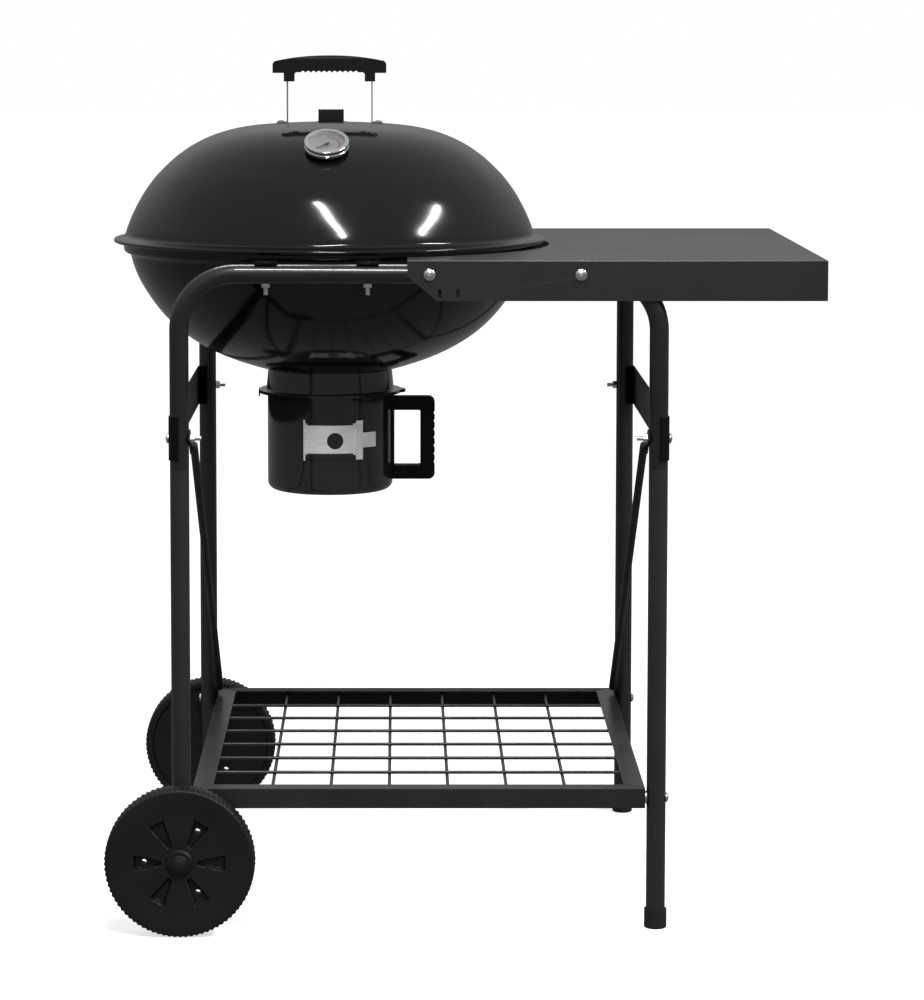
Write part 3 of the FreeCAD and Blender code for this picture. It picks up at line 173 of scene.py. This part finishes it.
RED = material("dial_band_ink", (0.30, 0.016, 0.012), 0.42, tone=(300.0, 0.2), smudge=(300.0, 0.05), bumps=((2500.0, 0.1, 0.00005),))
AMBER = material("dial_band_ink_mid", (0.42, 0.16, 0.015), 0.42, tone=(300.0, 0.2), smudge=(300.0, 0.05), bumps=((2500.0, 0.1, 0.00005),))
GLASS = material("dial_glass", (0.97, 0.98, 0.98), 0.03, ior=1.47, tone=(30.0, 0.01), smudge=(60.0, 0.012), bumps=((60.0, 0.01, 0.0001),), transmission=1.0)

BY_SLOT = {"kettle_enamel": ENAMEL, "can_enamel": CAN_ENAMEL, "frame_paint": FRAME_P, "bracket_paint": BRACKET_P,
           "shelf_paint": SHELF_P, "table_paint": TABLE_P, "handle_plastic": HANDLE_P, "wheel_plastic": WHEEL_P,
           "foot_rubber": RUBBER, "zinc": ZINC, "stainless": STEEL, "grate_plating": GRATE, "dial_chrome": CHROME,
           "dial_face": DIAL, "needle_black": INK, "dial_glass": GLASS}
NODE_SLOT = {s["node"]: s["material_slot"] for s in frame["record"]["subparts"]}
for name, o in N.items():
    m = BY_SLOT[NODE_SLOT[name]]
    if name == "lid_handle_bracket":
        m = STRAP
    if name == "ash_collar":
        m = CAN_ENAMEL
    # the front upper frame gets the darker copy of the frame coat (painted shade)
    if name == "front_upper_frame":
        m = FRAME_TOP_SHADE_COAT
    # braces and the shelf's rear rail get the darker paint copy (painted shade)
    if name in ("left_brace", "right_brace", "shelf_rear_rail"):
        m = BRACE_SHADE_P
    if not o.material_slots:
        o.data.materials.append(m)
    for s in o.material_slots:
        s.material = m

# ------------------------------------------------------------------ mesh helpers


def finish_mesh(name, me, mat, body, angle=32.0, replaces=()):
    me.materials.clear()
    me.materials.append(mat)
    me.polygons.foreach_set("use_smooth", [True] * len(me.polygons))
    me.set_sharp_from_angle(angle=math.radians(angle))
    o = bpy.data.objects.new(name, me)
    bpy.context.scene.collection.objects.link(o)
    if replaces:
        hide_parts(*replaces)
    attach(o, body)
    return o


def clamped_spline(pts, t0, t1, n):
    """smooth curve through pts with given end directions, chord-length parameter"""
    P = np.array(pts, float)
    h = np.linalg.norm(np.diff(P, axis=0), axis=1)
    k = len(P)
    A = np.zeros((k, k))
    B = np.zeros((k, 2))
    A[0, 0] = A[-1, -1] = 1
    B[0] = np.array(t0) / np.linalg.norm(t0)
    B[-1] = np.array(t1) / np.linalg.norm(t1)
    for i in range(1, k - 1):
        A[i, i - 1] = h[i]
        A[i, i] = 2 * (h[i] + h[i - 1])
        A[i, i + 1] = h[i - 1]
        B[i] = 3 * (h[i - 1] * (P[i + 1] - P[i]) / h[i] + h[i] * (P[i] - P[i - 1]) / h[i - 1])
    T = np.linalg.solve(A, B)
    s = np.r_[0, np.cumsum(h)]
    out, tan = [], []
    for u in np.linspace(0, s[-1], n):
        i = min(np.searchsorted(s, u, side="right") - 1, k - 2)
        t = (u - s[i]) / h[i]
        a, b = P[i], P[i + 1]
        ma, mb = T[i] * h[i], T[i + 1] * h[i]
        out.append((2 * t**3 - 3 * t**2 + 1) * a + (t**3 - 2 * t**2 + t) * ma + (-2 * t**3 + 3 * t**2) * b + (t**3 - t**2) * mb)
        d = (6 * t**2 - 6 * t) * a + (3 * t**2 - 4 * t + 1) * ma + (-6 * t**2 + 6 * t) * b + (3 * t**2 - 2 * t) * mb
        tan.append(d / np.linalg.norm(d))
    return np.array(out), np.array(tan)


def arc(c, r, a0, a1, n=8):
    return [(c[0] + r * math.cos(math.radians(a0 + (a1 - a0) * i / n)), c[1] + r * math.sin(math.radians(a0 + (a1 - a0) * i / n)))
            for i in range(n + 1)]


def lathe_mesh(name, prof, cx, cy, segs=192, closed=True):
    """turned solid about a vertical axis; prof in mm as (r, z); points on the axis become poles"""
    me = bpy.data.meshes.new(name)
    verts, faces, rings = [], [], []
    for r, z in prof:
        if r < 1e-4:
            rings.append([len(verts)])
            verts.append((cx * MM, cy * MM, z * MM))
        else:
            rings.append(list(range(len(verts), len(verts) + segs)))
            for i in range(segs):
                a = 2 * math.pi * i / segs
                verts.append(((cx + r * math.cos(a)) * MM, (cy + r * math.sin(a)) * MM, z * MM))
    pairs = list(zip(rings, rings[1:]))
    if closed:
        pairs.append((rings[-1], rings[0]))
    for p, q in pairs:
        if len(p) == 1 and len(q) == 1:
            continue
        for i in range(segs):
            j = (i + 1) % segs
            if len(p) == 1:
                faces.append((p[0], q[j], q[i]))
            elif len(q) == 1:
                faces.append((p[i], p[j], q[0]))
            else:
                faces.append((p[i], p[j], q[j], q[i]))
    me.from_pydata(verts, [], faces)
    bm = bmesh.new()
    bm.from_mesh(me)
    bmesh.ops.recalc_face_normals(bm, faces=bm.faces)
    bm.to_mesh(me)
    bm.free()
    return me


def cylinder_mesh(r, p, q, segs=48):
    p, q = Vector(p), Vector(q)
    d = q - p
    me = bpy.data.meshes.new("tool")
    bm = bmesh.new()
    bmesh.ops.create_cone(bm, cap_ends=True, segments=segs, radius1=r, radius2=r, depth=d.length)
    bm.transform(Matrix.Translation((p + q) / 2) @ d.to_track_quat("Z", "Y").to_matrix().to_4x4())
    bm.to_mesh(me)
    bm.free()
    return me


def cut(me, tools):
    o = bpy.data.objects.new("work", me)
    bpy.context.scene.collection.objects.link(o)
    made = []
    for t in tools:
        c = bpy.data.objects.new("tool", t)
        bpy.context.scene.collection.objects.link(c)
        made.append(c)
        b = o.modifiers.new("cut", "BOOLEAN")
        b.operation, b.solver, b.object = "DIFFERENCE", "EXACT", c
    dg = bpy.context.evaluated_depsgraph_get()
    out = bpy.data.meshes.new_from_object(o.evaluated_get(dg))
    for c in made + [o]:
        bpy.data.objects.remove(c)
    return out


# ------------------------------------------------------------------ kettle lid
LID_PTS = [(0, 1002.5), (70, 1000.4), (118, 995.2), (154.7, 984.9), (177.4, 974.3), (194.7, 963.2), (208.2, 952.5),
           (219.7, 941.6), (230.2, 930.6), (238.4, 920.0), (245.8, 909.3), (252.0, 898.7), (257.7, 887.9),
           (262.7, 877.2), (267.1, 866.2), (269.7, 858.6)]
outer, tan = clamped_spline(LID_PTS, (1, 0), (0.28, -1), 72)
inner = outer + np.c_[tan[:, 1], -tan[:, 0]] * 1.3
inner[0] = (0, 1001.2)
prof = [tuple(p) for p in outer]
prof += [(270.0, 857.2), (270.6, 855.7), (271.6, 854.4), (273.0, 853.4), (275.6, 852.3), (279.4, 850.9)]
prof += arc((283.4, 847.5), 2.55, 118, -118, 12)          # rolled lip
prof += [(280.6, 847.9), (278.0, 848.9), (274.0, 850.6), (271.7, 851.8), (270.3, 853.2), (269.3, 855.0), (268.9, 856.2)]
prof += [tuple(p) for p in inner[::-1]]
lid_me = lathe_mesh("lid", prof, KX, 0, 224, closed=False)
vj, tj = JOINTS["vent_turn"], JOINTS["needle_turn"]
vp, vn = Vector(vj["pos_m"]), Vector(vj["axis"]).normalized()
tp, tn = Vector(tj["pos_m"]), Vector(tj["axis"]).normalized()
ex = Vector((1, 0, 0))
ey = vn.cross(ex)
tools = []
for k in range(4):
    a = math.radians(90 * k + 45)
    c = vp + (ex * math.cos(a) + ey * math.sin(a)) * 0.0205
    tools.append(cylinder_mesh(0.009, c - vn * 0.02, c + vn * 0.01))
tools.append(cylinder_mesh(0.00515, tp - tn * 0.03, tp + tn * 0.01))
lid_me = cut(lid_me, tools)
finish_mesh("lid_enamel_shell", lid_me, ENAMEL, "lid", 40, ["lid_shell"])

# ------------------------------------------------------------------ bowl
BOWL_PTS = [(263.2, 827.0), (260.3, 816.0), (254.2, 800.0), (241.7, 777.7), (222.9, 752.0), (196.1, 726.0),
            (160.0, 703.0), (115.1, 684.4), (85.0, 675.6), (62.0, 670.6)]
outer, tan = clamped_spline(BOWL_PTS, (-0.18, -1), (-1, -0.19), 64)
inner = outer + np.c_[tan[:, 1], -tan[:, 0]] * 1.3
prof = [tuple(p) for p in outer] + [tuple(p) for p in inner[::-1]]
prof += [(264.0, 829.6), (266.0, 831.4), (268.4, 832.4), (270.2, 833.7), (271.2, 835.4), (271.4, 837.4), (271.4, 850.4)]
prof += [(271.8, 850.9), (272.4, 850.9), (272.8, 850.4), (272.8, 837.2), (272.5, 835.0), (271.6, 833.1), (270.0, 831.9), (267.6, 831.0),
         (265.0, 830.1), (263.9, 828.8)]
bowl_me = lathe_mesh("bowl", prof, KX, 0, 224, closed=True)
finish_mesh("bowl_enamel_shell", bowl_me, ENAMEL, "cart", 40, ["bowl_shell"])

# ------------------------------------------------------------------ wheels


def wheel_mesh(side):
    """moulded wheel: flat face with six tapered pockets, three drain holes, toothed shoulders"""
    lo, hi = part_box("front_wheel" if side < 0 else "rear_wheel")
    x0, z0 = (lo[0] + hi[0]) / 2 / MM, (lo[2] + hi[2]) / 2 / MM
    out_y = max(abs(lo[1]), abs(hi[1])) / MM
    w = 38.0
    segs = 336
    R = 93.7
    ang = np.arange(segs) * 2 * math.pi / segs

    def pocket(r, a):
        best = 0.0
        for k in range(6):
            t = a - math.radians(60 * k)
            u, v = r * math.cos(t), r * math.sin(t)
            if u <= 0:
                continue
            hw = 3.4 + (u - 22.0) * 0.215
            d = min(u - 22.0, 57.5 - u, hw - abs(v))
            if d > 0:
                q = min(1.0, d / 3.4)
                best = max(best, q * q * (3 - 2 * q))
        return best

    rings = []                       # each: list of (radius, offset from the inner face) per angle
    radii = [5.06, 9.0, 13.0, 15.0, 15.8, 16.4, 17.2, 18.5, 20.0] + list(np.arange(21.2, 60.0, 1.05)) + [62, 66, 70, 74, 78, 82, 85, 87.5, 89.4, 90.8]

    def face(r):
        if r <= 15.0:
            return w - 1.4
        if r <= 17.2:
            return w - 1.4 - (r - 15.0) / 2.2 * 3.0
        if r <= 60:
            return w - 4.4 + (r - 17.2) * 0.012
        if r <= 82:
            return w - 3.9 + (r - 60) * 0.085
        return w - 2.0 + (r - 82) * 0.02

    for r in radii:
        rings.append([(r, face(r) - (6.5 * pocket(r, a) if 21 < r < 60 else 0.0)) for a in ang])
    tooth = [(i // 2) % 2 for i in range(segs)]
    for r, o, depth in ((92.0, w - 2.6, 0.3), (93.0, w - 4.0, 1.0), (R, w - 5.6, 1.3), (R, w - 12.0, 1.3), (R - 0.2, w - 13.2, 0.0), (R - 0.2, 13.2, 0.0),
                        (R, 12.0, 1.3), (R, 5.6, 1.3), (93.0, 3.4, 1.0), (92.0, 1.8, 0.3), (90.8, 0.9, 0.0), (88.0, 0.6, 0.0), (84.0, 0.8, 0.0),
                        (82.6, 2.6, 0.0), (81.6, 4.6, 0.0), (60.0, 5.0, 0.0), (30.0, 5.0, 0.0), (16.0, 5.0, 0.0), (13.6, 4.0, 0.0), (13.0, 2.0, 0.0),
                        (13.0, -2.4, 0.0), (12.4, -3.0, 0.0), (5.06, -3.0, 0.0)):
        rings.append([(r - depth * tooth[i], o) for i in range(segs)])
    verts, faces = [], []
    for ring in rings:
        for (r, o), a in zip(ring, ang):
            verts.append(((x0 + r * math.cos(a)) * MM, side * (out_y - w + o) * MM, (z0 + r * math.sin(a)) * MM))
    n = len(rings)
    for k in range(n):
        p, q = k * segs, ((k + 1) % n) * segs
        for i in range(segs):
            j = (i + 1) % segs
            faces.append((p + i, p + j, q + j, q + i))
    me = bpy.data.meshes.new("wheel")
    me.from_pydata(verts, [], faces)
    bm = bmesh.new()
    bm.from_mesh(me)
    bmesh.ops.recalc_face_normals(bm, faces=bm.faces)
    bm.to_mesh(me)
    bm.free()
    drills = []
    for k in (1, 3, 5):
        a = math.radians(60 * k)
        hx, hz = (x0 + 44.5 * math.cos(a)) * MM, (z0 + 44.5 * math.sin(a)) * MM
        drills.append(cylinder_mesh(0.0042, (hx, side * (out_y - w - 6) * MM, hz), (hx, side * (out_y + 4) * MM, hz), 40))
    return cut(me, drills)


finish_mesh("front_wheel_moulding", wheel_mesh(-1), WHEEL_P, "wheel_front", 38, ["front_wheel"])
finish_mesh("rear_wheel_moulding", wheel_mesh(1), WHEEL_P, "wheel_rear", 38, ["rear_wheel"])

# ------------------------------------------------------------------ soft edges on the CAD nodes


def soften(name, width, angle=32.0, segments=2, weld=True):
    """breaks the sharp edges of a CAD node with a small round, as paint and pressing do"""
    o = N[name]
    if weld:
        w = o.modifiers.new("weld", "WELD")
        w.merge_threshold = 1e-6
    b = o.modifiers.new("edge", "BEVEL")
    b.width = width
    b.segments = segments
    b.limit_method = "ANGLE"
    b.angle_limit = math.radians(angle)
    b.harden_normals = False
    b.use_clamp_overlap = True
    b.miter_outer = "MITER_ARC"


for n in ("side_table",):
    soften(n, 0.0006, 40)
for n in ("shelf_front_rail", "shelf_rear_rail", "shelf_left_rail", "shelf_right_rail"):
    soften(n, 0.0005, 50)

# ------------------------------------------------------------------ thermometer scale, no lettering
zt = 0.00690                    # face of the dial above the lid surface
tx = Vector((1, 0, 0))
ty_ = tn.cross(tx)


def dial_point(r, deg, h=0.0):
    a = math.radians(deg)
    return tp + (tx * math.cos(a) + ty_ * math.sin(a)) * (r * MM) + tn * (zt + h)


def ticks_mesh(name, spec):
    me = bpy.data.meshes.new(name)
    verts, faces = [], []
    for r0, r1, d0, d1, h0, h1 in spec:
        steps = max(1, int(abs(d1 - d0) / 3))
        base = len(verts)
        for i in range(steps + 1):
            d = d0 + (d1 - d0) * i / steps
            for r in (r0, r1):
                for h in (h0, h1):
                    verts.append(dial_point(r, d, h * MM))
        for i in range(steps):
            q = base + 4 * i
            faces += [(q + 1, q + 3, q + 7, q + 5), (q, q + 4, q + 6, q + 2), (q, q + 1, q + 5, q + 4), (q + 2, q + 6, q + 7, q + 3)]
        q = base + 4 * steps
        faces += [(base, base + 2, base + 3, base + 1), (q, q + 1, q + 3, q + 2)]
    me.from_pydata(verts, [], faces)
    bm = bmesh.new()
    bm.from_mesh(me)
    bmesh.ops.recalc_face_normals(bm, faces=bm.faces)
    bm.to_mesh(me)
    bm.free()
    return me


spec = []
for i in range(41):
    d = 225 - 270 * i / 40
    long_ = i % 5 == 0
    w = 1.2 if long_ else 0.7
    spec.append((18.2 if long_ else 19.8, 21.6, d - w / 2, d + w / 2, 0.0, 0.06))
finish_mesh("dial_tick_marks", ticks_mesh("ticks", spec), INK, "lid", 30)
finish_mesh("dial_warm_band", ticks_mesh("warm", [(15.6, 17.2, 90, 20, 0.0, 0.05)]), AMBER, "lid", 30)
finish_mesh("dial_hot_band", ticks_mesh("hot", [(15.6, 17.2, 18, -45, 0.0, 0.05)]), RED, "lid", 30)

# ------------------------------------------------------------------ floor, light, camera
me = bpy.data.meshes.new("floor")
S = 40.0
me.from_pydata([(-S, -S, 0), (S, -S, 0), (S, S, 0), (-S, S, 0)], [], [(0, 1, 2, 3)])
floor = bpy.data.objects.new("floor", me)
bpy.context.scene.collection.objects.link(floor)
fm = bpy.data.materials.new("floor_pale")
fm.use_nodes = True
fb = fm.node_tree.nodes["Principled BSDF"]
fb.inputs["Base Color"].default_value = (0.93, 0.93, 0.93, 1)
fb.inputs["Roughness"].default_value = 0.9
fb.inputs["Specular IOR Level"].default_value = 0.0
fnt = fm.node_tree
fout = fnt.nodes["Material Output"]
flp = fnt.nodes.new("ShaderNodeLightPath")
fem = fnt.nodes.new("ShaderNodeEmission")
fem.inputs["Color"].default_value = (1, 1, 1, 1)
fem.inputs["Strength"].default_value = 0.62
fadd = fnt.nodes.new("ShaderNodeAddShader")
fnt.links.new(fb.outputs["BSDF"], fadd.inputs[0])
fnt.links.new(fem.outputs["Emission"], fadd.inputs[1])
fdim = fnt.nodes.new("ShaderNodeEmission")
fdim.inputs["Color"].default_value = (1, 1, 1, 1)
fdim.inputs["Strength"].default_value = 0.20
fmix = fnt.nodes.new("ShaderNodeMixShader")
fnt.links.new(flp.outputs["Is Camera Ray"], fmix.inputs["Fac"])
fnt.links.new(fdim.outputs["Emission"], fmix.inputs[1])
fnt.links.new(fadd.outputs["Shader"], fmix.inputs[2])
fnt.links.new(fmix.outputs["Shader"], fout.inputs["Surface"])
me.materials.append(fm)

w = bpy.data.worlds.new("studio")
bpy.context.scene.world = w
w.use_nodes = True
nt = w.node_tree
for n in list(nt.nodes):
    nt.nodes.remove(n)
out = nt.nodes.new("ShaderNodeOutputWorld")
bg_cam = nt.nodes.new("ShaderNodeBackground")
bg_env = nt.nodes.new("ShaderNodeBackground")
mixn = nt.nodes.new("ShaderNodeMixShader")
lp = nt.nodes.new("ShaderNodeLightPath")
bg_cam.inputs["Color"].default_value = (1, 1, 1, 1)
bg_cam.inputs["Strength"].default_value = 1.0
tc = nt.nodes.new("ShaderNodeTexCoord")
sep = nt.nodes.new("ShaderNodeSeparateXYZ")
ramp = nt.nodes.new("ShaderNodeValToRGB")
nt.links.new(tc.outputs["Generated"], sep.inputs["Vector"])
mr = nt.nodes.new("ShaderNodeMapRange")
mr.inputs["From Min"].default_value, mr.inputs["From Max"].default_value = -1, 1
nt.links.new(sep.outputs["Z"], mr.inputs["Value"])
nt.links.new(mr.outputs["Result"], ramp.inputs["Fac"])
el = ramp.color_ramp.elements
el[0].position, el[0].color = 0.0, (0.3, 0.3, 0.3, 1)
el[1].position, el[1].color = 1.0, (0.50, 0.50, 0.50, 1)
for pos, val in ((0.50, 0.20), (0.56, 0.27), (0.68, 0.46), (0.85, 0.48)):
    e = el.new(pos)
    e.color = (val, val, val * 1.01, 1)
nt.links.new(ramp.outputs["Color"], bg_env.inputs["Color"])
bg_env.inputs["Strength"].default_value = 1.0
nt.links.new(lp.outputs["Is Camera Ray"], mixn.inputs["Fac"])
nt.links.new(bg_env.outputs["Background"], mixn.inputs[1])
nt.links.new(bg_cam.outputs["Background"], mixn.inputs[2])
nt.links.new(mixn.outputs["Shader"], out.inputs["Surface"])


def area(name, centre, direction_az, direction_el, dist, sx, sy, power, roll=0.0, spread=180.0):
    """soft light at an azimuth (0 = from the camera's side, + = towards +X) and elevation about a point"""
    a, e = math.radians(direction_az), math.radians(direction_el)
    d = Vector((math.sin(a) * math.cos(e), -math.cos(a) * math.cos(e), math.sin(e)))
    l = bpy.data.lights.new(name, "AREA")
    l.shape = "RECTANGLE"
    l.size, l.size_y = sx, sy
    l.energy = power
    l.spread = math.radians(spread)
    o = bpy.data.objects.new(name, l)
    o.location = Vector(centre) + d * dist
    q = (-d).to_track_quat("-Z", "Y")
    o.rotation_mode = "QUATERNION"
    o.rotation_quaternion = q @ Matrix.Rotation(math.radians(roll), 4, "Z").to_quaternion()
    bpy.context.scene.collection.objects.link(o)
    return o


C0 = (KX * MM, 0, 0.88)


def strip(name, p0, p1, width, power, target):
    """narrow soft light whose long side runs from p0 to p1 and which faces target"""
    p0, p1, target = Vector(p0), Vector(p1), Vector(target)
    mid = (p0 + p1) / 2
    y = (p1 - p0).normalized()
    z = mid - target
    z = (z - y * z.dot(y)).normalized()
    x = y.cross(z)
    l = bpy.data.lights.new(name, "AREA")
    l.shape = "RECTANGLE"
    l.size, l.size_y = width, (p1 - p0).length
    l.energy = power
    o = bpy.data.objects.new(name, l)
    o.matrix_world = Matrix.Translation(mid) @ Matrix((x, y, z)).transposed().to_4x4()
    bpy.context.scene.collection.objects.link(o)
    return o


strip("strip_front", (-0.50, -1.75, 3.70), (0.30, -2.80, 2.78), 0.13, 75, C0)
strip("strip_right", (2.33, -0.40, 3.07), (2.25, -1.62, 2.62), 0.14, 62, C0)
top = area("table_soft", (0.05, 0.0, 0.83), 0, 89, 2.6, 2.6, 2.4, 66)
links = bpy.data.collections.new("overhead_receivers")
for name in N:
    if NODE_SLOT[name] in ("frame_paint", "shelf_paint", "table_paint", "zinc") and name != "front_upper_frame":
        links.objects.link(N[name])
top.light_linking.receiver_collection = links
# long soft light high behind the grill: the fine bright line on the straight top of the front rail
glint = area("rail_glint", (-0.10, -0.31, 0.83), 180, 49.7, 3.0, 2.4, 0.45, 52)
only = bpy.data.collections.new("glint_receivers")
only.objects.link(N["front_upper_frame"])
glint.light_linking.receiver_collection = only
# weak front light for the bright slide plate of the ash can
plate = area("plate_soft", (-0.17, 0.0, 0.587), -10, 12, 2.6, 1.0, 1.0, 9)
only2 = bpy.data.collections.new("plate_receivers")
only2.objects.link(N["ash_can_damper"])
plate.light_linking.receiver_collection = only2

cam = bpy.data.cameras.new("camera")
cam.sensor_width = 36.0
cam.lens = 120.423
cam.shift_x, cam.shift_y = 0.06406, -0.17
cam.clip_end = 200
co = bpy.data.objects.new("camera", cam)
co.location = (-0.077, -4.435, 1.131)
co.rotation_euler = (math.radians(90 - 5.2231), 0, 0)
bpy.context.scene.collection.objects.link(co)
bpy.context.scene.camera = co
bpy.context.scene.view_settings.view_transform = "Standard"
bpy.context.scene.view_settings.look = "None"

bpy.context.view_layer.update()
